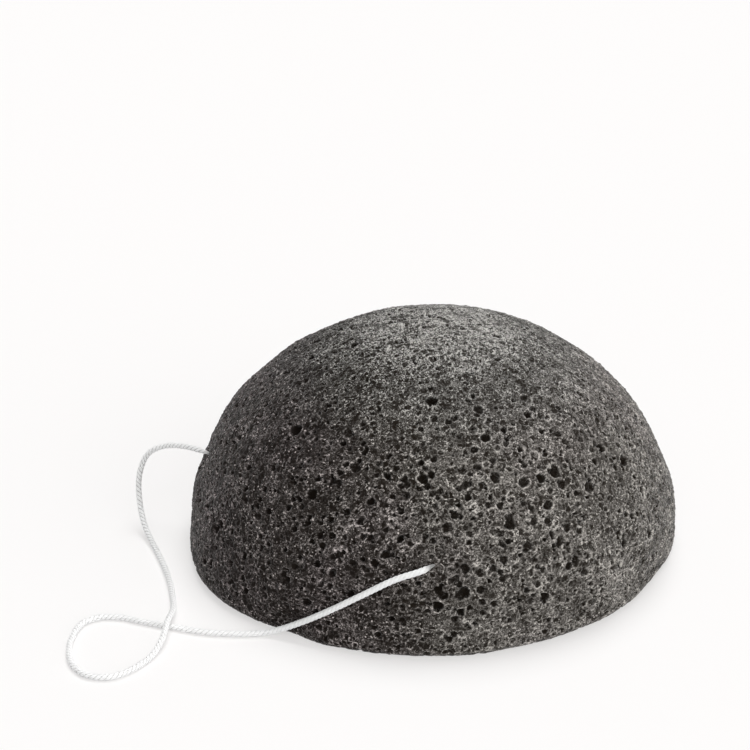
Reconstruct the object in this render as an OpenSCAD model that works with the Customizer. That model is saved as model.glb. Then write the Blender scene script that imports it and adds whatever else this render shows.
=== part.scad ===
/* [Sponge] */
// Diameter of the flat face, before its edge is rounded
sponge_d = 80; // [74:1:86]
// Height from the flat face to the top of the dome
sponge_h = 38.5; // [36:0.5:41]
// Rounding between the flat face and the dome
edge_r = 1.6; // [0.8:0.1:2.4]

/* [Large pores] */
// How many large pores are cut into the dome
pore_count = 72; // [12:1:84]
// Diameter of the largest pore
pore_d = 2; // [1.4:0.1:2.4]
// Diameter of the smallest of them
pore_least_d = 1.1; // [0.8:0.1:1.3]
// Height of the lowest pore's centre
pore_low = 5; // [4:0.5:8]
// Bare distance kept round the top
pore_top = 0.6; // [0.4:0.1:1.2]

/* [String] */
// Diameter of the twisted cotton string
string_d = 1; // [0.8:0.1:1.2]
// Air between the string's tunnel and the string
tunnel_fit = 0.1; // [0.05:0.01:0.2]
// Room past one string diameter in the pit that each end of the free loop turns in
pit_fit = 0.2; // [0.1:0.05:0.4]
// Air between an end of the loop and the lead that it joins
tip_gap = 0.2; // [0.1:0.05:0.4]

/* [Knot] */
// Air between the knot and the foam round it
knot_fit = 0.3; // [0.1:0.05:0.5]
// Air between the knot and the four strands that reach it
strand_gap = 0.15; // [0.1:0.05:0.4]
// Length of each trimmed end past the knot
tail_len = 6; // [3:0.5:10]

/* [Hidden] */
foam_colour = "#3f3d3a";
string_colour = "#f2f0ea";

// Smooth curves: the dome, the small rounds, and a pore
$fn = 96;
round_fn = 32;
pore_fn = 16;

// The dome is a cap of one ball, whose middle lies under the flat face
ball_r = (pow(sponge_d / 2, 2) + pow(sponge_h, 2)) / (2 * sponge_h);
ball_z = sponge_h - ball_r;
// Radius of the cap at the height where the edge rounding starts
side_r = sqrt(pow(ball_r, 2) - pow(edge_r - ball_z, 2));
// One cut runs past a face by this much
overrun = 1;

// Pores stand on a sunflower spiral: equal steps in height, one golden turn each
golden_turn = 360 * (3 - sqrt(5)) / 2;
// Spreads the pore sizes without a visible order
size_turn = 211;
// How far a pore's middle lies under the skin, as a share of its radius
pore_sink_share = 0.2;

string_r = string_d / 2;
tunnel_r = string_r + tunnel_fit;
pit_r = string_d + pit_fit;

// The free loop, from the front hole to the side hole. It lies on the foam, comes down to the
// surface that the sponge stands on, makes one small loop that passes over itself, and rises again.
route = [
    [-1, -37, 14.5],
    [-3, -38, 14],
    [-7, -38, 12.5],
    [-12, -37.5, 9.5],
    [-16.5, -36.5, 6.5],
    [-21, -35, 3.5],
    [-26, -33.5, 0.9],
    [-31, -33.5, 0.5],
    [-36, -33, 0.5],
    [-41, -31.5, 0.5],
    [-45.5, -30, 0.5],
    [-49.5, -28.5, 0.5],
    [-53, -28.5, 0.5],
    [-55.5, -30.5, 0.5],
    [-56.5, -34.5, 0.5],
    [-56.5, -38.5, 0.5],
    [-55.5, -42.5, 0.5],
    [-53, -45.5, 0.5],
    [-49.5, -46, 0.5],
    [-46.5, -44, 0.5],
    [-44, -40.5, 0.5],
    [-42.5, -36.5, 1.2],
    [-42, -32, 1.7],
    [-41.5, -27, 1.2],
    [-42, -22, 0.5],
    [-43, -16.5, 0.5],
    [-44.5, -11, 0.5],
    [-46.5, -5, 0.5],
    [-48.5, 0, 2],
    [-49.5, 3.5, 5],
    [-49.5, 5.5, 8.5],
    [-48, 6, 12],
    [-45, 5, 14],
    [-41.5, 3, 15],
    [-37, 1, 14.5]
];
route_end = len(route) - 1;
steps_per_span = 2;
tube_sides = 8;
exit_front = route[0];
exit_side = route[route_end];

// Inside the foam the string runs level through half a turn, from one hole to the other,
// so that it meets both holes square to the line that joins them
thread_mid = (exit_front + exit_side) / 2;
thread_r = norm(exit_side - exit_front) / 2;
thread_turn = atan2(exit_front.y - thread_mid.y, exit_front.x - thread_mid.x);
knot_at = 90;

// An overhand knot of three lobes: a thicker string makes it wider and taller in step
knot_spread_share = 0.8;
knot_lift_share = 1;
knot_spread = knot_spread_share * string_d;
knot_lift = knot_lift_share * string_d;
knot_reach = 3 * knot_spread + string_r;
knot_half_h = knot_lift + string_r;
knot_rings = 60;
// The two trimmed ends leave side by side, one string diameter apart
tail_pitch = 2 * string_d;
// Angles along the half turn that the loop's end and the knot take up
tip_angle = (string_r + tip_gap) / thread_r * 180 / PI;
knot_angle = (knot_reach + strand_gap) / thread_r * 180 / PI;

// A point between b and c of four route points, on a curve that passes through every one of them
function along(a, b, c, d, t) =
    (2 * b + (c - a) * t + (2 * a - 5 * b + 4 * c - d) * t * t + (3 * b - a - 3 * c + d) * t * t * t) / 2;

// The route point at i, carried on in a straight line past either end
function route_at(i) =
    i < 0 ? 2 * route[0] - route[1] :
    i > route_end ? 2 * route[route_end] - route[route_end - 1] :
    route[i];

// The tube's middle never lies lower than its own radius
function lifted(p) = [p.x, p.y, max(p.z, string_r)];

loop_line = [
    for (i = [0 : route_end - 1])
        for (k = [0 : steps_per_span - 1])
            lifted(along(route_at(i - 1), route_at(i), route_at(i + 1), route_at(i + 2), k / steps_per_span)),
    exit_side
];

// The middle line of an overhand knot: three lobes, one of them towards the trimmed ends
function overhand(a) = [
    knot_spread * (sin(a) + 2 * sin(2 * a)),
    knot_spread * (2 * cos(2 * a) - cos(a)),
    knot_lift * sin(3 * a)
];
knot_line = [for (i = [0 : knot_rings - 1]) overhand(360 * i / knot_rings)];

function unit(v) = v / norm(v);
function level_side(v) = unit(cross([0, 0, 1], v));

// A round cord swept along a line of points; a closed line joins its last ring to its first
module cord(line, radius, closed = false) {
    count = len(line);
    last = count - 1;
    headings = [
        for (i = [0 : last])
            closed ? line[(i + 1) % count] - line[(i + last) % count] :
            line[min(i + 1, last)] - line[max(i - 1, 0)]
    ];
    points = [
        for (i = [0 : last])
            let (side = level_side(headings[i]), up = unit(cross(headings[i], side)))
                for (k = [0 : tube_sides - 1])
                    line[i] + radius * (cos(360 * k / tube_sides) * side + sin(360 * k / tube_sides) * up)
    ];
    walls = [
        for (i = [0 : closed ? last : last - 1])
            for (k = [0 : tube_sides - 1])
                let (
                    near = i * tube_sides,
                    far = (i + 1) % count * tube_sides,
                    turn = (k + 1) % tube_sides
                )
                    each [
                        [near + k, far + k, far + turn],
                        [near + k, far + turn, near + turn]
                    ]
    ];
    caps = closed ? [] : [
        [for (k = [0 : tube_sides - 1]) k],
        [for (k = [0 : tube_sides - 1]) last * tube_sides + tube_sides - 1 - k]
    ];
    polyhedron(points = points, faces = concat(walls, caps));
}

// Places its children in the plane of the hidden string, with the front hole at angle zero
module in_thread_plane() {
    translate(thread_mid) rotate([0, 0, thread_turn]) children();
}

// Part of the hidden half turn, as a round bar
module thread_arc(from, sweep, radius) {
    in_thread_plane() rotate([0, 0, from])
        rotate_extrude(angle = sweep) translate([thread_r, 0]) circle(radius, $fn = round_fn);
}

// Places its children at the knot, with X along the hidden string and Y away from the loop
module at_knot() {
    in_thread_plane() translate([0, thread_r, 0]) children();
}

// A trimmed end, or the room for it, behind the knot: side 1 is towards the front hole
module trimmed(side, radius, start, length) {
    at_knot() translate([side * tail_pitch / 2, start, 0])
        rotate([-90, 0, 0]) cylinder(r = radius, h = length, $fn = round_fn);
}

// The ball's cap inside a puck whose lower edge is rounded
module half_ball() {
    foot_r = side_r - edge_r;
    intersection() {
        translate([0, 0, ball_z]) sphere(ball_r);
        rotate_extrude() union() {
            square([foot_r, sponge_h + overrun]);
            translate([0, edge_r]) square([side_r, sponge_h]);
            translate([foot_r, edge_r]) circle(edge_r, $fn = round_fn);
        }
    }
}

// Where pore i stands on the dome, and how wide it is
function pore_place(i) =
    let (
        z = pore_low + (i + 0.5) / pore_count * (sponge_h - pore_top - pore_low),
        r = sqrt(pow(ball_r, 2) - pow(z - ball_z, 2)),
        turn = i * golden_turn
    ) [r * cos(turn), r * sin(turn), z];
function pore_size(i) = (pore_least_d + (pore_d - pore_least_d) * abs(sin(i * size_turn))) / 2;
function is_clear(p) = min(norm(p - exit_front), norm(p - exit_side)) > pit_r + pore_d;

module pores() {
    middle = [0, 0, ball_z];
    for (i = [0 : pore_count - 1]) {
        place = pore_place(i);
        if (is_clear(place))
            translate(place - pore_sink_share * pore_size(i) * unit(place - middle))
                sphere(pore_size(i), $fn = pore_fn);
    }
}

// The moulded half ball of foam, with its large pores and the way that the string takes through it
module sponge_body() {
    color(foam_colour) difference() {
        half_ball();
        pores();
        thread_arc(0, 2 * knot_at, tunnel_r);
        translate(exit_front) sphere(pit_r, $fn = round_fn);
        translate(exit_side) sphere(pit_r, $fn = round_fn);
        at_knot() cylinder(r = knot_reach + knot_fit, h = 2 * (knot_half_h + knot_fit), center = true);
        for (side = [-1, 1])
            trimmed(side, tunnel_r, 0, knot_reach + strand_gap + tail_len + tunnel_fit);
    }
}

// The free stretch of string between the two holes
module string_loop() {
    color(string_colour) cord(loop_line, string_r);
}

// The hidden stretch from the front hole to the knot
module string_lead_front() {
    color(string_colour) thread_arc(tip_angle, knot_at - knot_angle - tip_angle, string_r);
}

// The hidden stretch from the side hole to the knot
module string_lead_side() {
    color(string_colour) thread_arc(knot_at + knot_angle, knot_at - knot_angle - tip_angle, string_r);
}

// The overhand knot that joins the string's two ends in the middle of the foam
module string_knot() {
    color(string_colour) at_knot() cord(knot_line, string_r, closed = true);
}

// The end of the front lead that was trimmed off past the knot
module knot_tail_front() {
    color(string_colour) trimmed(1, string_r, knot_reach + strand_gap, tail_len);
}

// The end of the side lead that was trimmed off past the knot
module knot_tail_side() {
    color(string_colour) trimmed(-1, string_r, knot_reach + strand_gap, tail_len);
}

sponge_body();
string_loop();
string_lead_front();
string_lead_side();
string_knot();
knot_tail_front();
knot_tail_side();
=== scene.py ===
"""A half ball of charcoal konjac foam on its flat face, with a thin twisted cotton string through it."""
import math

import bpy
import numpy as np
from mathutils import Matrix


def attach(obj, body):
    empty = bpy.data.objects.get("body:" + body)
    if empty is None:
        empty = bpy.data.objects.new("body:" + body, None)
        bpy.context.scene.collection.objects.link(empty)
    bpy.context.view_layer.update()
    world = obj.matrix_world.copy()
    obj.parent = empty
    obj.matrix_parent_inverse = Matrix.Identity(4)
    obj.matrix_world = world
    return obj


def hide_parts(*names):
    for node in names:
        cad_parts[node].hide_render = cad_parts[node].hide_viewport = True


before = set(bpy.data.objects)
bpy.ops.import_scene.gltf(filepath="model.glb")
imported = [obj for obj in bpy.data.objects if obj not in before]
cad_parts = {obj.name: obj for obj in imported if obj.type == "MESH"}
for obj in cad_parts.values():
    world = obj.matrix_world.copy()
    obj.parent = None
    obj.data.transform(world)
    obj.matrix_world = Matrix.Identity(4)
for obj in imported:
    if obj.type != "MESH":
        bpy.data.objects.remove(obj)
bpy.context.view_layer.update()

MM = 0.001

# Sponge, in millimetres, as it is built
SPONGE_R = 40.0
SPONGE_H = 38.5
EDGE_R = 1.6
BALL_R = (SPONGE_R**2 + SPONGE_H**2) / (2 * SPONGE_H)
BALL_Z = SPONGE_H - BALL_R
SIDE_R = math.sqrt(BALL_R**2 - (EDGE_R - BALL_Z) ** 2)

# The widest open cells on the front: where each stands, as its x and its height, and its radius
WIDE_CELLS = np.array([
    (-21.6, 27.3, 1.05), (22.9, 20.9, 1), (-13.7, 29.1, 0.95), (-1.1, 33.6, 0.95), (-12.6, 25.6, 0.9),
    (16.2, 18.5, 0.9), (-19.1, 21.2, 0.9), (12.6, 23.9, 0.9), (-14.9, 14.5, 0.9), (10.4, 19.1, 0.85),
    (8.3, 25.1, 0.85), (1.1, 19.5, 0.85), (-2.5, 25.2, 0.85), (6.1, 32.5, 0.85), (5.1, 30.5, 0.8),
    (7, 29.5, 0.8), (18.3, 22.5, 0.8), (16.5, 11, 0.8), (15.3, 23.9, 0.8), (16.2, 20.5, 0.8),
    (14.4, 26.6, 0.8), (-33.3, 11.4, 0.8), (13.1, 16, 0.75), (7.9, 18.5, 0.75), (3.7, 13.9, 0.75),
    (-15.9, 11.8, 0.75), (-7, 19.7, 0.75), (0.5, 10.1, 0.75), (17.4, 24.6, 0.7), (-31, 15.3, 0.7),
    (20.5, 12.5, 0.7), (24.1, 25.1, 0.7), (-20.3, 9.2, 0.7), (-29.4, 9.5, 0.7), (-17.3, 15.1, 0.65),
    (-4.9, 23, 0.65), (-10.2, 22, 0.65), (5.6, 26.4, 0.65), (-14.2, 20.2, 0.65), (5.3, 28.4, 0.65),
    (5.8, 13.3, 0.65), (14.3, 10.6, 0.65), (9.5, 14.6, 0.65), (-0.5, 8.3, 0.65), (6.5, 24.1, 0.65),
    (-9.7, 14.2, 0.65), (3.4, 26.1, 0.65), (13.1, 18.8, 0.65), (6, 10.8, 0.65), (-15.8, 23.4, 0.65),
    (-1.3, 11.7, 0.65), (3.9, 24.4, 0.65), (19.4, 26.9, 0.65), (-26, 5.4, 0.65), (18.4, 28, 0.65),
    (27.5, 13.4, 0.65), (25.5, 21.6, 0.65), (2.7, 10.2, 0.65), (1.8, 12.2, 0.65), (-19.1, 29, 0.65),
    (-18.1, 23.2, 0.6), (7.7, 31.3, 0.6), (-21.4, 16.8, 0.6), (9.8, 30, 0.6), (21, 16.2, 0.6),
    (-3.1, 32.3, 0.6), (22.2, 10.1, 0.6), (-18.2, 2.9, 0.6), (19.2, 24.3, 0.6), (9, 21.7, 0.55),
    (11.1, 13.4, 0.55), (2.3, 30.1, 0.55), (-0.9, 27.4, 0.55), (-2.6, 10.2, 0.55), (5.2, 18.8, 0.55),
    (-5.8, 24.2, 0.55), (-7.6, 27.5, 0.55), (6.7, 15.1, 0.55), (-5.8, 21.3, 0.55), (-17.6, 18.1, 0.55),
    (-11.4, 19.7, 0.55), (15.4, 12.3, 0.55), (14, 14, 0.55), (0.3, 28.2, 0.55), (-17.7, 16.4, 0.55),
    (9.7, 5.7, 0.55), (-8.3, 20.9, 0.55), (13, 9.8, 0.55), (-5.5, 8.3, 0.55), (10.6, 15.9, 0.55),
    (-9.2, 3.6, 0.55), (-3.1, 24, 0.55), (10.3, 9.7, 0.55), (-11.2, 27.5, 0.55), (-2.1, 26.4, 0.55),
    (-10.4, 5, 0.55), (-19.6, 17.6, 0.55), (-3.9, 3, 0.55), (12.4, 14.2, 0.55), (6.2, 9, 0.55),
    (-3.3, 4.8, 0.55), (-10.7, 17.6, 0.55), (8.1, 8.6, 0.55), (12.7, 25.7, 0.55), (-7.8, 9.1, 0.55),
    (-2.2, 18.3, 0.5), (-4.4, 17.1, 0.5), (-4.5, 15.8, 0.5), (3, 20.7, 0.5),
])
# How far the middles of these cells lie under the dome, in turn, as shares of their radius
CELL_SINKS = (0.35, -0.1, -0.5)

# Random cells of three sizes: the side of the cube that may hold one, and its least and largest radius
WIDE_SIZE = (2.3, 0.55, 0.95)
MIDDLE_SIZE = (1.25, 0.32, 0.6)
SMALL_SIZE = (0.75, 0.16, 0.3)
# A cell opens if it comes this near the surface, in millimetres
SKIN = 0.06
# and if its mouth's radius is more than this share of its own
LEAST_MOUTH = 0.35
# A soft limit for the depth of the larger cells, in millimetres
DEEPEST = 1.6

# How far the foam stands out from the clean ball, in millimetres. The left shoulder and the front hole each
# have a middle and a width
SIDES_OUT = 1.05
SHOULDER = ((-33, -6, 22), 13)
SHOULDER_OUT = 0.5
HOLE = ((0.2, -37.2, 14.8), 1.1)
HOLE_OUT = 0.2
# The foot all round, and at four places the angle and the width, in radians, and how far it stands out there
FOOT_OUT = -0.65
FOOT_PLACES = ((-2.65, 0.3, 1), (-2.2, 0.45, 0.7), (-0.95, 0.45, -1.2), (-0.45, 0.25, -1.2))

# Broad spots where the foam is darker or paler than round them: middle, reach and level. They are partly
# uneven tone and partly painted light and shade; the pale one low at the right front is painted light
TONE_AND_LIGHT_SPOTS = (
    ((24, -21, 24), 13, 0.74), ((-19, -21, 28), 18, 0.75), ((8, -32, 22), 9, 1.15),
    ((-4, -38, 9), 13, 0.66), ((26, -29, 5), 10, 1.4), ((-18, -34, 10), 19, 0.76),
    ((6, -14, 34), 16, 0.75),
)

# String, in millimetres
STRING_R = 0.5
STRANDS = 3
LAY_PITCH = 2.4
TWIST_SIDES = 30
# As shares of its radius: the grooves between its strands, and how far the foam squeezes it
GROOVE_SHARE = 0.42
SQUEEZE_SHARE = 0.6
# From the front hole, over the dome and the surface that the sponge lies on, to the hole in the side
ROUTE = np.array([
    (-1, -37, 14.5), (-3, -38, 14), (-7, -38, 12.5), (-12, -37.5, 9.5), (-16.5, -36.5, 6.5),
    (-21, -35, 3.5), (-26, -33.5, 0.9), (-31, -33.5, 0.5), (-36, -33, 0.5), (-41, -31.5, 0.5),
    (-45.5, -30, 0.5), (-49.5, -28.5, 0.5), (-53, -28.5, 0.5), (-55.5, -30.5, 0.5), (-56.5, -34.5, 0.5),
    (-56.5, -38.5, 0.5), (-55.5, -42.5, 0.5), (-53, -45.5, 0.5), (-49.5, -46, 0.5), (-46.5, -44, 0.5),
    (-44, -40.5, 0.5), (-42.5, -36.5, 1.2), (-42, -32, 1.7), (-41.5, -27, 1.2), (-42, -22, 0.5),
    (-43, -16.5, 0.5), (-44.5, -11, 0.5), (-46.5, -5, 0.5), (-48.5, 0, 2), (-49.5, 3.5, 5),
    (-49.5, 5.5, 8.5), (-48, 6, 12), (-45, 5, 14), (-41.5, 3, 15), (-37, 1, 14.5),
], float)
EXIT_FRONT = ROUTE[0]
EXIT_SIDE = ROUTE[-1]
# Where the start of the string comes down on the dome when the loop is swung all the way up
RAISED = np.array([
    (-1, -37, 15.5), (-1.5, -36.5, 17.5), (-3, -35.7, 19), (-4.5, -35, 20.5), (-6, -34, 22),
], float)

# The string goes through the foam level, on half a turn from hole to hole
THREAD_MID = (EXIT_FRONT + EXIT_SIDE) / 2
THREAD_R = np.linalg.norm(EXIT_SIDE - EXIT_FRONT) / 2
# The leads end short of the knot: its lobes spread by this share of the string's width, with air round them
KNOT_SPREAD_SHARE = 0.8
STRAND_GAP = 0.15
KNOT_REACH = 3 * KNOT_SPREAD_SHARE * 2 * STRING_R + STRING_R + STRAND_GAP

# The floor's half width and its height, a hair under the sponge, in millimetres
FLOOR_HALF = 6000.0
FLOOR_Z = -0.02
# Near white, for what the camera sees behind the object
BACKDROP = (0.99, 0.975, 0.967, 1)


# ---------- camera ----------

def make_camera():
    """Looks along +Y, 24.3 degrees down, at a point a little left of the sponge's middle and above it."""
    tilt = math.radians(24.3)
    distance = 385 * MM
    aside, above = -9.8, 26.7
    aim = np.array([aside, above * math.sin(tilt), above * math.cos(tilt)]) * MM
    data = bpy.data.cameras.new("camera")
    data.lens = 110
    data.sensor_width = 36
    data.clip_start = 0.01
    data.clip_end = 20
    camera = bpy.data.objects.new("camera", data)
    camera.location = aim - distance * np.array([0, math.cos(tilt), -math.sin(tilt)])
    camera.rotation_euler = (math.pi / 2 - tilt, 0, 0)
    bpy.context.scene.collection.objects.link(camera)
    bpy.context.scene.camera = camera


# ---------- mesh helpers ----------

def unit(v):
    """Each row divided by its length."""
    return v / np.linalg.norm(v, axis=-1, keepdims=True)


def through(points, steps):
    """A curve through every point: between two of them it is the cubic whose slope at each is half the
    step from the point before it to the point after."""
    ends = np.concatenate([[2 * points[0] - points[1]], points, [2 * points[-1] - points[-2]]])
    t = (np.arange(steps) / steps)[None, :, None]
    a, b, c, d = [ends[k:len(ends) - 3 + k][:, None, :] for k in range(4)]
    curve = (2 * b + (c - a) * t + (2 * a - 5 * b + 4 * c - d) * t**2 + (3 * b - a - 3 * c + d) * t**3) / 2
    return np.concatenate([curve.reshape(-1, 3), points[-1:]])


def make_piece(name, points, quads, material, smooth=True):
    """A mesh object from points in millimetres and quads, at the origin."""
    mesh = bpy.data.meshes.new(name)
    mesh.vertices.add(len(points))
    mesh.vertices.foreach_set("co", (points * MM).astype(np.float32).ravel())
    mesh.loops.add(quads.size)
    mesh.loops.foreach_set("vertex_index", quads.astype(np.int32).ravel())
    mesh.polygons.add(len(quads))
    mesh.polygons.foreach_set("loop_start", np.arange(0, quads.size, 4, dtype=np.int32))
    mesh.update(calc_edges=True)
    mesh.validate()
    mesh.polygons.foreach_set("use_smooth", np.full(len(mesh.polygons), smooth))
    mesh.materials.append(material)
    piece = bpy.data.objects.new(name, mesh)
    bpy.context.scene.collection.objects.link(piece)
    return piece


def give_mask(piece, name, values):
    """Stores one number a vertex, for the material to read."""
    layer = piece.data.attributes.new(name, "FLOAT", "POINT")
    layer.data.foreach_set("value", values.astype(np.float32))


def tube_quads(rings, sides):
    """Quads between neighbouring rings, in the order that makes their faces point outwards."""
    near = np.arange(rings - 1)[:, None] * sides
    far = near + sides
    k = np.arange(sides)[None, :]
    turn = (k + 1) % sides
    return np.stack([near + k, near + turn, far + turn, far + k], -1).reshape(-1, 4)


# ---------- material helpers ----------

class Nodes:
    """Adds shader nodes to one tree and links them, so that a material reads as a list of steps."""

    def __init__(self, tree):
        self.tree = tree

    def add(self, kind, inputs=None, **settings):
        node = self.tree.nodes.new(kind)
        for key, value in settings.items():
            setattr(node, key, value)
        for key, value in (inputs or {}).items():
            if isinstance(value, bpy.types.NodeSocket):
                self.tree.links.new(value, node.inputs[key])
            else:
                node.inputs[key].default_value = value
        return node

    def math(self, operation, a, b=0.0, clamp=False):
        return self.add("ShaderNodeMath", {0: a, 1: b}, operation=operation, use_clamp=clamp).outputs[0]

    def times(self, first, *others):
        """All the values multiplied, in the order given."""
        for other in others:
            first = self.math("MULTIPLY", first, other)
        return first

    def ramp(self, value, low, high, to_low=0.0, to_high=1.0):
        """Runs smoothly from to_low to to_high as value goes from low to high."""
        node = self.add(
            "ShaderNodeMapRange",
            {"Value": value, "From Min": low, "From Max": high, "To Min": to_low, "To Max": to_high},
            interpolation_type="SMOOTHSTEP",
        )
        return node.outputs["Result"]

    def noise(self, where, scale, detail, roughness=0.5):
        """Soft random blotches from 0 to 1, with detail steps of finer ones."""
        inputs = {"Vector": where, "Scale": scale, "Detail": detail, "Roughness": roughness}
        return self.add("ShaderNodeTexNoise", inputs).outputs["Fac"]

    def mask(self, name):
        """The number that give_mask stored at each vertex of the piece."""
        return self.add("ShaderNodeAttribute", attribute_name=name).outputs["Fac"]

    def mix(self, share, a, b):
        return self.add("ShaderNodeMix", {0: share, 6: a, 7: b}, data_type="RGBA").outputs[2]


def new_material(name):
    material = bpy.data.materials.new(name)
    material.use_nodes = True
    material.node_tree.nodes.clear()
    return material, Nodes(material.node_tree)


def grey(level, red=1.0, green=1.0, blue=1.0):
    return (level * red, level * green, level * blue, 1.0)


# ---------- foam material ----------

def make_foam_material():
    """Charcoal foam: a web of pale walls round small cells, some of them closed by a skin and some open and
    dark. It is painted dark inside the modelled cells, as shade in their hollows, and palest on their lips,
    with specks and a drifting tint; it is also painted darker to the left and paler round the top, as painted
    light and shade."""
    material, n = new_material("charcoal_foam")
    place = n.add("ShaderNodeTexCoord").outputs["Object"]
    parts = n.add("ShaderNodeSeparateXYZ", {"Vector": place})
    x, z = parts.outputs["X"], parts.outputs["Z"]
    pit, rim, tuft = [n.mask(name) for name in ("pit", "rim", "tuft")]

    # bends the cell patterns, so that no cell is a clean polygon
    sway = n.add("ShaderNodeTexNoise", {"Vector": place, "Scale": 2400, "Detail": 3}).outputs["Color"]
    sway = n.add("ShaderNodeVectorMath", {0: sway, 1: (0.5, 0.5, 0.5)}, operation="SUBTRACT").outputs[0]
    sway = n.add("ShaderNodeVectorMath", {0: sway, "Scale": 0.00045}, operation="SCALE").outputs[0]
    bent = n.add("ShaderNodeVectorMath", {0: place, 1: sway}, operation="ADD").outputs[0]

    def cells(scale, wall):
        """Random cells: how open each one is, and the pale wall between neighbours."""
        near = n.add("ShaderNodeTexVoronoi", {"Vector": bent, "Scale": scale})
        pick = n.add("ShaderNodeSeparateColor", {"Color": near.outputs["Color"]}).outputs["Red"]
        edge = n.add("ShaderNodeTexVoronoi", {"Vector": bent, "Scale": scale}, feature="DISTANCE_TO_EDGE")
        return pick, n.ramp(edge.outputs["Distance"], 0.03, wall, 1.0, 0.0)

    pick, web = cells(1100, 0.13)
    pick_fine, web_fine = cells(2300, 0.27)
    gaps = n.noise(place, 650, 2)
    grain = n.noise(place, 3300, 2, 0.7)
    fleck = n.noise(place, 5200, 1)
    patch = n.noise(place, 170, 3)
    web = n.times(web, n.ramp(gaps, 0.38, 0.6, 0.25, 1.0))
    dot = n.add("ShaderNodeTexVoronoi", {"Vector": bent, "Scale": 1500})
    dot_pick = n.add("ShaderNodeSeparateColor", {"Color": dot.outputs["Color"]}).outputs["Green"]
    speck = n.times(n.ramp(dot.outputs["Distance"], 0.1, 0.25, 1.0, 0.0), n.ramp(dot_pick, 0.45, 0.85))

    # how pale the foam is: its skins and walls, uneven at four sizes, and the broken lips of the cells
    fine = n.math("MAXIMUM", n.ramp(pick_fine, 0.2, 0.8, 1.2, 0.35), n.times(web_fine, 1.4))
    skins = n.times(n.ramp(pick, 0.25, 0.8, 0.26, 0.03), fine)
    walls = n.times(web, n.ramp(grain, 0.3, 0.7, 0.15, 0.95))
    light = n.times(
        n.math("MAXIMUM", skins, walls),
        n.ramp(tuft, 0.15, 0.85, 0.6, 1.4),
        n.ramp(patch, 0.3, 0.7, 0.68, 1.1),
        n.ramp(fleck, 0.3, 0.7, 0.15, 1.9),
        n.ramp(grain, 0.36, 0.64, 0.72, 1.28),
    )
    broken = n.times(n.ramp(grain, 0.3, 0.6, 0.3, 1.0), n.ramp(gaps, 0.36, 0.58, 0.35, 1.2))
    light = n.math("ADD", light, n.times(rim, broken))
    crisp = n.times(n.ramp(fleck, 0.35, 0.65, -0.65, 0.65), n.ramp(z, 0.028, 0.037))
    # painted shade: the foam is painted darker the deeper the modelled cell is, on top of the shadow that its
    # depth casts
    closed = n.times(n.ramp(pit, 0.02, 0.5, 1.0, 0.2), n.ramp(pit, 0.45, 0.9, 1.0, 0.25))
    light = n.times(light, n.math("ADD", crisp, 1.0), closed)

    # painted shade: the foam is darker towards the left, the side away from the lamps, and of a harsher grain
    # there; painted light: its skin is paler round the top, where the light from above falls, and at its far
    # left edge, as if lit by the white surround
    harsh = n.ramp(x, -0.010, 0.006, 1.42, 1.0)
    side = n.ramp(x, -0.027, 0.013, 0.255, 0.68)
    top = n.ramp(z, 0.0345, 0.0385, 1.0, 2.7)
    left_edge_light = n.ramp(x, -0.038, -0.033, 1.15, 1.0)
    light = n.times(n.math("POWER", n.times(light, 2.5), harsh), 0.4, side, top, left_edge_light)
    # broad spots painted darker or paler, partly as uneven tone and partly as painted light and shade
    for middle, reach, level in TONE_AND_LIGHT_SPOTS:
        both = {0: place, 1: [MM * c for c in middle]}
        away = n.add("ShaderNodeVectorMath", both, operation="DISTANCE").outputs["Value"]
        light = n.times(light, n.ramp(away, 0.2 * reach * MM, reach * MM, level, 1.0))
    light = n.math("ADD", light, n.times(speck, closed, 0.95), clamp=True)

    # its tint drifts from a reddish grey to an olive one, and more so away from the dark side
    drift = n.ramp(n.noise(place, 55, 2), 0.4, 0.6, -0.25, 0.25)
    olive = n.math("ADD", drift, n.ramp(x, -0.03, 0.005), clamp=True)
    dark = n.mix(olive, grey(0.006, 1.53, 1.0, 0.74), grey(0.006, 1.53, 1.0, 0.5))
    pale = n.mix(olive, grey(0.6, 1.13, 1.0, 0.98), grey(0.6, 1.06, 1.0, 0.925))
    pale = n.mix(n.ramp(z, 0.026, 0.036), pale, grey(0.6, 1.023, 1.0, 0.944))
    body = n.mix(light, dark, pale)

    height = n.math("ADD", n.times(web, 0.6), n.times(fleck, 0.8))
    bump = n.add("ShaderNodeBump", {"Height": height, "Strength": 0.8, "Distance": 0.00015}).outputs["Normal"]
    shader = n.add(
        "ShaderNodeBsdfPrincipled",
        {"Base Color": body, "Roughness": 0.85, "Normal": bump, "Specular IOR Level": 0.1,
         "Sheen Weight": 0.22, "Sheen Roughness": 0.35},
    )
    n.add("ShaderNodeOutputMaterial", {"Surface": shader.outputs[0]})
    return material


# ---------- foam shape ----------

def cube_grid(n):
    """Unit directions of an n by n grid on each of a cube's six faces, with even angles, and the quads
    between them. Points on the cube's edges are shared, so the surface is closed."""
    row = n + 1
    steps = np.arange(row)
    a, b = [m.ravel() for m in np.meshgrid(steps, steps, indexing="ij")]
    low = np.zeros_like(a)
    high = np.full_like(a, n)
    sides = [(high, a, b), (low, b, a), (b, high, a), (a, low, b), (a, b, high), (b, a, low)]
    keys = np.concatenate([(x * row + y) * row + z for x, y, z in sides])
    unique, place = np.unique(keys, return_inverse=True)
    lattice = np.stack([unique // row**2, unique // row % row, unique % row], 1)
    cube = np.tan((lattice / n - 0.5) * math.pi / 2)
    i, j = [m.ravel() for m in np.meshgrid(np.arange(n), np.arange(n), indexing="ij")]
    corner = i * row + j
    one = np.stack([corner, corner + row, corner + row + 1, corner + 1], 1)
    quads = np.concatenate([place[one + f * row**2] for f in range(6)])
    return unit(cube), quads


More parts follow.
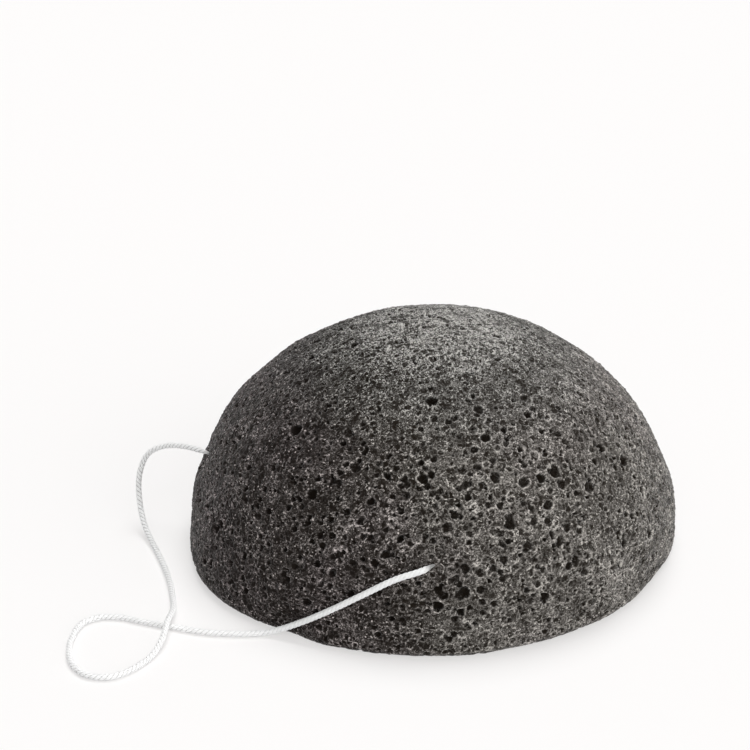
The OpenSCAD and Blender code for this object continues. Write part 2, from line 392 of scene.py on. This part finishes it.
def sponge_profile():
    """The half section from the top of the dome, down its ball, round the edge and in along the flat face:
    radius, height and the outward normal's two parts at each step."""
    low = math.asin((EDGE_R - BALL_Z) / BALL_R)
    rise = np.linspace(math.pi / 2, low, 1500)
    bend = np.linspace(0, -math.pi / 2, 120)[1:]
    foot = np.linspace(SIDE_R - EDGE_R, 0, 700)[1:]
    r = np.concatenate([BALL_R * np.cos(rise), SIDE_R - EDGE_R + EDGE_R * np.cos(bend), foot])
    z = np.concatenate([BALL_Z + BALL_R * np.sin(rise), EDGE_R + EDGE_R * np.sin(bend), 0 * foot])
    nr = np.concatenate([np.cos(rise), np.cos(bend), 0 * foot])
    nz = np.concatenate([np.sin(rise), np.sin(bend), 0 * foot - 1])
    return r, z, nr, nz


def on_sponge(directions):
    """Carries unit directions to the smooth sponge so that equal areas stay equal: the share of the unit
    ball's area above a direction is the share of the sponge's area above its point. The flat face counts
    for a third of its area, so that it takes fewer points."""
    r, z, nr, nz = sponge_profile()
    flat = nz[1:] < -0.999
    band = np.hypot(np.diff(r), np.diff(z)) * (r[1:] + r[:-1]) / 2
    band = band * np.where(flat, 0.33, 1)
    area = np.concatenate([[0], np.cumsum(band)])
    share = (1 - directions[:, 2]) / 2 * area[-1]
    turn = np.arctan2(directions[:, 1], directions[:, 0])
    at = [np.interp(share, area, v) for v in (r, z, nr, nz)]
    points = np.stack([at[0] * np.cos(turn), at[0] * np.sin(turn), at[1]], 1)
    normals = unit(np.stack([at[2] * np.cos(turn), at[2] * np.sin(turn), at[3]], 1))
    return points, normals


def chance(cells, seed):
    """Five even random numbers from 0 to 1 for each whole-number cell, always the same for one seed. The
    cell's place and the seed are multiplied by large numbers and laid over each other, and each draw shifts
    and multiplies the result twice, within 32 bits."""
    c = (cells + 4096).astype(np.uint64)
    state = (c[:, 0] * 73856093) ^ (c[:, 1] * 19349663) ^ (c[:, 2] * 83492791) ^ np.uint64(seed * 2654435761)
    all_bits = np.uint64(2**32 - 1)
    draws = []
    for _ in range(5):
        for shift, factor in ((15, 2246822519), (13, 3266489917)):
            state = (state ^ (state >> np.uint64(shift))) * np.uint64(factor) & all_bits
        state = state ^ (state >> np.uint64(16))
        draws.append(state.astype(np.float64) / 2**32)
    return draws


def opened(rel, normals, radius):
    """Where a foam cell, a ball, breaks the surface. rel is a surface point less the ball's middle. Straight
    in from a point, a ball that comes within SKIN of the surface is open down to its far wall. Returns that
    depth, and how near the point is to the opening's lip, from 0 to 1."""
    sunk = (rel * normals).sum(1)
    off = np.sqrt(np.maximum((rel**2).sum(1) - sunk**2, 0))
    half = np.sqrt(np.maximum(radius**2 - off**2, 0))
    mouth = np.sqrt(np.maximum(radius**2 - np.maximum(np.abs(sunk) - SKIN, 0) ** 2, 0))
    wide = mouth > LEAST_MOUTH * radius
    depth = np.where(wide & (off < radius) & (sunk - half < SKIN), sunk + half, 0)
    lip_width = 0.14 * radius + 0.05
    lip = np.where(wide & (off >= mouth * 0.97), np.exp(-(((off - mouth) / lip_width) ** 2)), 0)
    return depth, lip


def bubbles(points, normals, size, share, seed):
    """Random foam cells: every cube of a grid holds one ball or none. size gives the cubes' side and the
    balls' least and largest radius, with more small ones, and share how many of the cubes hold one."""
    side, least, most = size
    home = np.floor(points / side).astype(np.int64)
    depth = np.zeros(len(points))
    lip = np.zeros(len(points))
    for step in np.ndindex(3, 3, 3):
        cube = home + np.array(step) - 1
        a, b, c, d, e = chance(cube, seed)
        middle = (cube + np.stack([a, b, c], 1)) * side
        deep, near = opened(points - middle, normals, least + (most - least) * d**1.4)
        depth = np.maximum(depth, np.where(e < share, deep, 0))
        lip = np.maximum(lip, np.where(e < share, near, 0))
    return depth, lip


def placed_cells(points, normals):
    """The cells of WIDE_CELLS: balls whose middles lie in turn a third of their radius under the dome, a
    tenth over it and half over it, so that the last two are shallower dishes."""
    depth = np.zeros(len(points))
    lip = np.zeros(len(points))
    for i, (x, z, radius) in enumerate(WIDE_CELLS):
        on_dome = np.array([x, -math.sqrt(BALL_R**2 - (z - BALL_Z) ** 2 - x**2), z])
        reach = 1.5 * radius + 0.3
        near = np.flatnonzero(np.abs(points - on_dome).max(1) < reach)
        middle = on_dome - CELL_SINKS[i % 3] * radius * normals[near].mean(0)
        deep, rim = opened(points[near] - middle, normals[near], radius)
        depth[near] = np.maximum(depth[near], deep)
        lip[near] = np.maximum(lip[near], rim)
    return depth, lip


def ease(low, high, value):
    """0 up to low, 1 from high, and 3t^2 - 2t^3 between them."""
    t = np.clip((value - low) / (high - low), 0, 1)
    return t * t * (3 - 2 * t)


def waves(points, shortest, longest, count, seed):
    """An even random roughness near -1 to 1: the sum of sine waves that run in random directions."""
    random = np.random.default_rng(seed)
    length = shortest * (longest / shortest) ** random.random(count)
    ways = unit(random.normal(size=(count, 3))) / length[:, None]
    start = random.random(count) * 2 * math.pi
    total = np.zeros(len(points))
    for way, first in zip(ways, start):
        total += np.sin(2 * math.pi * points @ way + first)
    return total / math.sqrt(count)


def near_turn(turn, middle, width):
    """1 at the middle angle, falling off on both sides like a bell of the given width."""
    away = (turn - middle + math.pi) % (2 * math.pi) - math.pi
    return np.exp(-((away / width) ** 2))


def near_point(points, middle, width):
    """1 at the middle, falling off all round it like a bell of the given width."""
    return np.exp(-((points - np.array(middle)) ** 2).sum(1) / (2 * width**2))


def near_front(points, x, z, width, height):
    """1 at a sideways place and a height, falling off round them like a bell that is as wide and as high as
    given, whatever the place in depth."""
    return np.exp(-(((points[:, 0] - x) / width) ** 2 + ((points[:, 2] - z) / height) ** 2))


def settled(points, normals):
    """The real sponge isn't a clean ball: its sides are fuller, its left shoulder most of all, and its foot
    is drawn in, but stands out at the left. The foam keeps to the ball where the string lies on it, at rest
    and swung up, and closes round the string at the front hole."""
    turn = np.arctan2(points[:, 1], points[:, 0])
    level = np.stack([np.cos(turn), np.sin(turn), 0 * turn], 1)
    upwards = unit(points - np.array([0, 0, BALL_Z]))[:, 2]
    full = SIDES_OUT * (1 - ease(0.55, 0.95, upwards)) + SHOULDER_OUT * near_point(points, *SHOULDER)
    closing = HOLE_OUT * near_point(points, *HOLE)
    foot = FOOT_OUT
    for middle, width, out in FOOT_PLACES:
        foot = foot + out * near_turn(turn, middle, width)
    foot = foot * np.exp(-((points[:, 2] / 7) ** 2))
    share = np.where(points[:, 2] < 0.001, np.hypot(points[:, 0], points[:, 1]) / SIDE_R, 1)
    ways = np.where(points[:, 2:] < EDGE_R, level, normals)
    lying = np.concatenate([through(ROUTE[:7], 4), RAISED])
    from_string = np.sqrt(((points[:, None] - lying[None]) ** 2).sum(2).min(1))
    from_side = np.linalg.norm(points - EXIT_SIDE - np.array([0, -1.5, 0]), axis=1)
    free = ease(0.6, 5.0, from_string) * ease(1.0, 4.5, from_side)
    return points + (full * share * free + closing)[:, None] * ways + (foot * share * free)[:, None] * level


def foam_cells(points, normals):
    """How deep the wide and middle cells are at each point, how deep the small ones are that also line
    them, and how near the point is to a lip of the first kind and of the small ones. The points are first
    shaken by waves, so that no mouth is a clean circle. Depths approach DEEPEST as a hyperbolic tangent."""
    uneven = points + 0.09 * np.stack([waves(points, 0.7, 1.5, 12, k) for k in (1, 2, 3)], 1)
    coarse = near_front(points, 6, 15, 18, 11)
    wide_share = np.where(points[:, 1] < -4, 0.08 + 0.36 * coarse, 0.3)
    front = near_front(points, 8, 14, 28, 14) * (points[:, 1] < 0)
    crown = ease(26, 36, points[:, 2])
    middle_share = (0.6 + 0.35 * front) * (1 - 0.6 * crown)
    found = (
        placed_cells(uneven, normals),
        bubbles(uneven, normals, WIDE_SIZE, wide_share, 11),
        bubbles(uneven, normals, MIDDLE_SIZE, middle_share, 23),
    )
    depth, lips = [np.maximum.reduce(each) for each in zip(*found)]
    depth = DEEPEST * np.tanh(depth / DEEPEST)
    small, small_lips = bubbles(uneven - depth[:, None] * normals, normals, SMALL_SIZE, 0.85, 37)
    return depth, small, lips, small_lips


def make_foam(material):
    """The half ball with open cells of three sizes. Each point moves in along its normal by the cells' depth
    less the height of tufts, ripples and a broad swell. The skin is smooth round the string's holes, and the
    cells are shallower on the lower edge."""
    grid = 280
    directions, quads = cube_grid(grid)
    points, normals = on_sponge(directions)
    depth, small, lips, small_lips = foam_cells(points, normals)
    tuft = waves(points, 0.45, 0.85, 40, 4)
    ripple = waves(points, 1.0, 2.2, 20, 5)
    swell = waves(points, 7, 18, 16, 6)
    rough = 0.055 * tuft + 0.05 * ripple + 0.12 * swell
    from_hole = np.minimum(*[np.linalg.norm(points - p, axis=1) for p in (EXIT_FRONT, EXIT_SIDE)])
    from_middle = np.hypot(points[:, 0], points[:, 1])
    edge = np.exp(-((from_middle - SIDE_R + 0.4) ** 2 + (points[:, 2] - 0.7) ** 2) / 1.3**2)
    total = (depth + 0.7 * small - rough) * ease(0.6, 2.0, from_hole) * (1 - 0.6 * edge)
    shape = settled(points, normals) - total[:, None] * normals
    shape[:, 2] = np.maximum(shape[:, 2], 0)

    piece = make_piece("sponge_foam", shape, quads, material)
    # pit: how deep the cells are, which the material paints dark as shade in them
    give_mask(piece, "pit", np.clip(depth, 0, 1) * 0.9 + np.clip(small / 0.5, 0, 1) * 0.25)
    give_mask(piece, "rim", np.clip(lips * (depth < 0.05) + 0.3 * small_lips * (small < 0.03), 0, 1))
    give_mask(piece, "tuft", np.clip(0.5 + 0.3 * tuft, 0, 1))
    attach(piece, "sponge")
    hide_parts("sponge_body")


# ---------- string ----------

def make_cotton_material():
    """Bleached cotton: fibres that run with the twist, a little fuzz, grey painted in the grooves as shade,
    and painted shade near both ends, where the string goes into the foam."""
    material, n = new_material("white_cotton")
    uv = n.add("ShaderNodeUVMap", uv_map="lay").outputs["UV"]
    stretched = n.add("ShaderNodeMapping", {"Vector": uv, "Scale": (26.0, 1.1, 1.0)}).outputs[0]
    fibre = n.noise(stretched, 1.0, 3, 0.6)
    body = n.mix(n.ramp(fibre, 0.3, 0.7), grey(0.93, 1.0, 0.99, 0.97), grey(0.98, 1.0, 0.995, 0.985))
    # painted shade: grey in the grooves between the strands
    body = n.mix(n.ramp(n.mask("groove"), 0.4, 0.95, 0.0, 0.85), body, grey(0.38, 1.0, 0.99, 0.96))
    # painted shade: near-black at both ends, where the string goes into its holes
    body = n.mix(n.times(n.mask("stained"), 0.85), body, grey(0.12))
    bump = n.add("ShaderNodeBump", {"Height": fibre, "Strength": 0.5, "Distance": 0.00006}).outputs["Normal"]
    shader = n.add(
        "ShaderNodeBsdfPrincipled",
        {"Base Color": body, "Roughness": 0.8, "Normal": bump, "Specular IOR Level": 0.2,
         "Subsurface Weight": 1.0, "Subsurface Radius": (1.0, 1.0, 1.0), "Subsurface Scale": 0.0005,
         "Sheen Weight": 1.0, "Sheen Roughness": 0.5},
    )
    n.add("ShaderNodeOutputMaterial", {"Surface": shader.outputs[0]})
    return material


def run_along(line):
    """The distance of each point from the line's start, along the line."""
    return np.concatenate([[0], np.cumsum(np.linalg.norm(np.diff(line, axis=0), axis=1))])


def evenly(line, step):
    """Points along the line at even distances, and their distances from its start."""
    run = run_along(line)
    at = np.linspace(0, run[-1], int(round(run[-1] / step)) + 1)
    return np.stack([np.interp(at, run, line[:, k]) for k in range(3)], 1), at


def twisted(name, line, at, material, pinched=0.0):
    """A round cord of three strands carried along a line. Round each ring the radius swells over every
    strand like half an ellipse, and the strands turn once in each pitch. Both ends close in a half ball.
    A pinched cord narrows over 2 to 4 mm at both ends, as the foam squeezes it, and its grooves are shallower
    over its first 42 mm, which are drawn tight, and a little shallower up to 125 mm; the grey painted in the
    grooves as shade is lighter there by the same share."""
    heading = unit(np.gradient(line, axis=0))
    side = unit(np.cross(np.array([0, 0, 1.0]), heading))
    up = np.cross(heading, side)
    angle = np.arange(TWIST_SIDES) / TWIST_SIDES * 2 * math.pi
    phase = (angle[None, :] + 2 * math.pi * at[:, None] / LAY_PITCH) * STRANDS / (2 * math.pi)
    across = np.abs((phase % 1) - 0.5) * 2
    swell = np.sqrt(np.maximum(1 - across**2, 0))
    left = at[-1] - at
    end = np.minimum(at, left)
    closing = np.sqrt(np.clip(1 - (1 - np.minimum(end / STRING_R, 1)) ** 2, 0.0004, 1))[:, None]
    free = np.minimum(ease(0.2, 2.4, at), ease(1.2, 4.5, left))
    pinch = 1 - SQUEEZE_SHARE * pinched * (1 - free)[:, None]
    deep = 1 - pinched * (0.3 - 0.18 * ease(22, 42, at) - 0.12 * ease(85, 125, at))[:, None]
    radius = STRING_R * (1 - GROOVE_SHARE * deep * (1 - swell)) * closing * pinch
    ring = np.cos(angle)[None, :, None] * side[:, None, :] + np.sin(angle)[None, :, None] * up[:, None, :]
    points = (line[:, None, :] + radius[..., None] * ring).reshape(-1, 3)
    # painted shade over the first and last 1 to 3 mm, where the string goes into the foam
    stained = 1 - np.minimum(ease(1.0, 2.8, at), ease(1.2, 3.2, left))
    piece = make_piece(name, points, tube_quads(len(line), TWIST_SIDES), material)
    # groove: how deep the groove is, which the material paints grey as shade
    give_mask(piece, "groove", (deep * across**2).ravel())
    give_mask(piece, "stained", np.repeat(stained, TWIST_SIDES))
    layer = piece.data.uv_layers.new(name="lay")
    corner = np.empty(len(piece.data.loops), np.int32)
    piece.data.loops.foreach_get("vertex_index", corner)
    u = (angle / (2 * math.pi))[None, :] + at[:, None] / LAY_PITCH
    v = np.repeat(at, TWIST_SIDES)
    layer.data.foreach_set("uv", np.stack([u.ravel()[corner], v[corner]], 1).astype(np.float32).ravel())
    return piece


def with_round_ends(line):
    """The line carried straight on by one radius past both ends, for the half balls that close it."""
    first = line[0] + STRING_R * unit(line[0] - line[1])
    last = line[-1] + STRING_R * unit(line[-1] - line[-2])
    return np.concatenate([first[None], line, last[None]])


def drawn_in(line):
    """The route as the string lies in its holes: over its first 1.8 mm it sinks by 0.3 mm, into the
    foam's skin, and over its last 10 mm it bears towards the front of its hole, 2.2 mm off the middle."""
    run = run_along(line)
    sunk = (1 - ease(0, 1.8, run))[:, None] * np.array([0, 0.25, -0.11])
    aside = ease(run[-1] - 10, run[-1], run)[:, None] * np.array([1.15, -1.8, 0.5])
    return line + sunk + aside


def make_string(material):
    """The free loop from hole to hole, and the two leads that go on from the holes into the foam. Each
    lead's first 3 mm bend aside to lie under the loop's end."""
    middle = drawn_in(through(ROUTE, 40))
    middle[:, 2] = np.maximum(middle[:, 2], STRING_R)
    line, at = evenly(with_round_ends(middle), 0.1)
    loop = twisted("string_twist", line, at, material, pinched=1.0)
    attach(loop, "string")
    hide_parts("string_loop")
    first = math.atan2(*(EXIT_FRONT - THREAD_MID)[1::-1])
    knot_turn = KNOT_REACH / THREAD_R
    leads = (
        ("lead_twist_front", "string_lead_front", 0, math.pi / 2 - knot_turn, (0, 0.87, -0.38)),
        ("lead_twist_side", "string_lead_side", math.pi, math.pi / 2 + knot_turn, (0.9, -0.6, -0.3)),
    )
    for name, node, low, high, under in leads:
        turn = first + np.linspace(low, high, 300)
        arc = THREAD_MID + THREAD_R * np.stack([np.cos(turn), np.sin(turn), 0 * turn], 1)
        start = arc[0] + STRING_R * unit(arc[0] - arc[1])
        line, at = evenly(np.concatenate([start[None], arc]), 0.15)
        line = line + (1 - ease(0.5, 3, at))[:, None] * np.array(under)
        lead = twisted(name, line, at, material)
        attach(lead, "sponge")
        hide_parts(node)


# ---------- floor, lamps and world ----------

def make_stage():
    """A plain floor, a hair under the sponge, so that no two faces share a plane. Seen by the camera it is
    near white and keeps the shadow; the light that it gives back to the object is that of a pale grey one."""
    material, n = new_material("white_floor")
    seen = n.add("ShaderNodeLightPath").outputs["Is Camera Ray"]
    colour = n.mix(seen, grey(0.8), (0.93, 0.92, 0.915, 1))
    lit = n.add("ShaderNodeBsdfDiffuse", {"Color": colour}).outputs[0]
    white = n.add("ShaderNodeEmission", {"Color": BACKDROP, "Strength": 1.0}).outputs[0]
    mixed = n.add("ShaderNodeMixShader", {0: n.times(seen, 0.55), 1: lit, 2: white}).outputs[0]
    n.add("ShaderNodeOutputMaterial", {"Surface": mixed})
    corners = [(-1, -1), (1, -1), (1, 1), (-1, 1)]
    points = np.array([(FLOOR_HALF * x, FLOOR_HALF * y, FLOOR_Z) for x, y in corners])
    floor = make_piece("floor", points, np.array([[0, 1, 2, 3]]), material, smooth=False)


def make_lamp(name, towards, level, width):
    """A far round lamp seen in the given direction. Its level is the brightness of a white card that faces
    it, and its width in degrees softens the shadow."""
    data = bpy.data.lights.new(name, "SUN")
    data.energy = level * math.pi
    data.angle = math.radians(width)
    lamp = bpy.data.objects.new(name, data)
    x, y, z = towards
    lamp.rotation_euler = (math.atan2(math.hypot(x, y), z), 0, math.atan2(y, x) + math.pi / 2)
    bpy.context.scene.collection.objects.link(lamp)


def make_light():
    """A key from above, a little behind and to the right, a weak fill from the front, and a surround that is
    brightest in front and to the right: a plain level, plus the cube of how squarely a direction faces that
    side."""
    make_lamp("key", (0.1, 0.33, 0.94), 0.61, 36)
    make_lamp("fill", (0, -0.8, 0.6), 0.15, 40)
    world = bpy.data.worlds.new("studio")
    world.use_nodes = True
    world.node_tree.nodes.clear()
    n = Nodes(world.node_tree)
    way = n.add("ShaderNodeTexCoord").outputs["Generated"]
    bright_side = unit(np.array([0.64, -0.72, 0.13])).tolist()
    faced = n.add("ShaderNodeVectorMath", {0: way, 1: bright_side}, operation="DOT_PRODUCT").outputs["Value"]
    faced = n.math("POWER", n.math("MAXIMUM", faced, 0.0), 3.0)
    plain, most = 0.2, 1.8
    level = n.math("ADD", n.times(faced, most), plain)
    ray = n.add("ShaderNodeLightPath").outputs["Is Camera Ray"]
    level = n.math("MAXIMUM", n.times(level, n.math("SUBTRACT", 1.0, ray)), ray)
    colour = n.mix(ray, grey(1.0), BACKDROP)
    back = n.add("ShaderNodeBackground", {"Color": colour, "Strength": level}).outputs[0]
    n.add("ShaderNodeOutputWorld", {"Surface": back})
    bpy.context.scene.world = world


bpy.context.scene.view_settings.view_transform = "Standard"
make_camera()
cotton = make_cotton_material()
make_string(cotton)
foam = make_foam_material()
make_foam(foam)
make_stage()
make_light()
for node in ("string_knot", "knot_tail_front", "knot_tail_side"):
    hidden = bpy.data.objects[node]
    hidden.data.materials.clear()
    hidden.data.materials.append(cotton)
